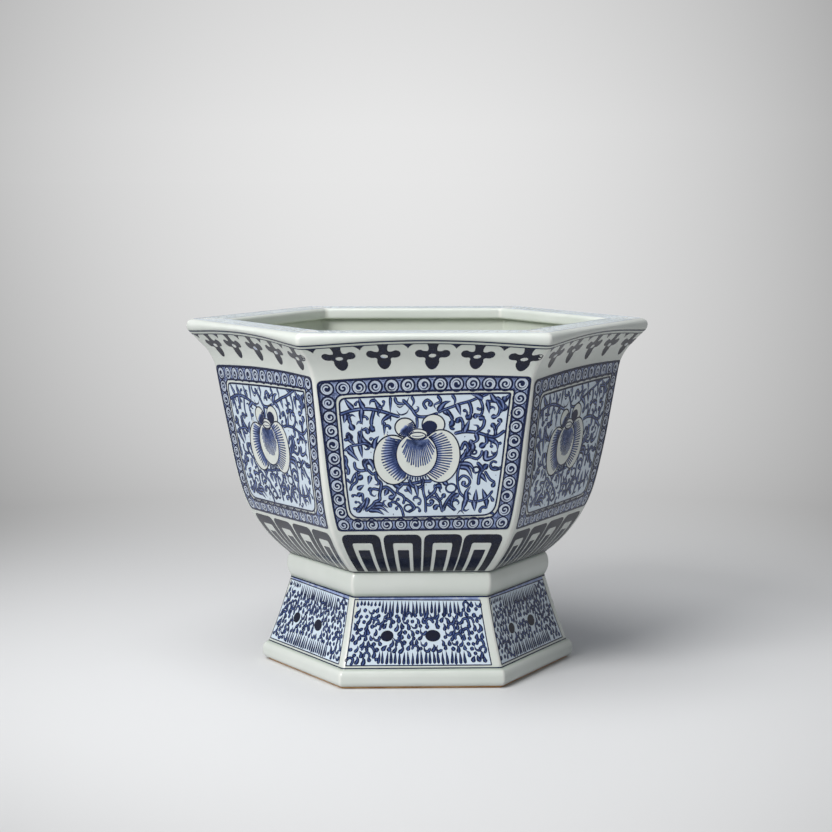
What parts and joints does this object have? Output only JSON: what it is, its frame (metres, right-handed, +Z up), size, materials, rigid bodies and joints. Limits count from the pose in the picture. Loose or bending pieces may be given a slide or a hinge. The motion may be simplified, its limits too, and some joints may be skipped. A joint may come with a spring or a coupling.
{
  "type": "jardiniere on stand",
  "caption": "Hexagonal glazed jardiniere with flared rim, underglaze scroll panels, and a separate flared hexagonal stand that it lifts off.",
  "frame": {"origin": "middle of the stand's resting face, on the surface it stands on", "axes": "+Z up; two flat sides face -Y and +Y; two corners point along -X and +X"},
  "size_m": [0.4008, 0.3486, 0.3],
  "materials": {
    "glazed_porcelain": "clear gloss glaze with a faint blue-green tint over white clay, cobalt blue painting under it",
    "bare_porcelain_clay": "unglazed fired clay, matt, toasted orange-brown"
  },
  "bodies": {
    "stand": {"stand_collar": "glazed_porcelain", "stand_base_moulding": "glazed_porcelain", "stand_foot_rim": "bare_porcelain_clay", "stand_wall_front": "glazed_porcelain", "stand_wall_front_right": "glazed_porcelain", "stand_wall_back_right": "glazed_porcelain", "stand_wall_back": "glazed_porcelain", "stand_wall_back_left": "glazed_porcelain", "stand_wall_front_left": "glazed_porcelain"},
    "jardiniere": {"pot_rim": "glazed_porcelain", "pot_floor": "glazed_porcelain", "pot_foot_ring": "bare_porcelain_clay", "pot_wall_front": "glazed_porcelain", "pot_wall_front_right": "glazed_porcelain", "pot_wall_back_right": "glazed_porcelain", "pot_wall_back": "glazed_porcelain", "pot_wall_back_left": "glazed_porcelain", "pot_wall_front_left": "glazed_porcelain"}
  },
  "joints": [
    {"name": "lift_off", "type": "slide", "parent": "stand", "child": "jardiniere", "axis": [0, 0, 1], "range_m": [0, 0.15]}
  ]
}
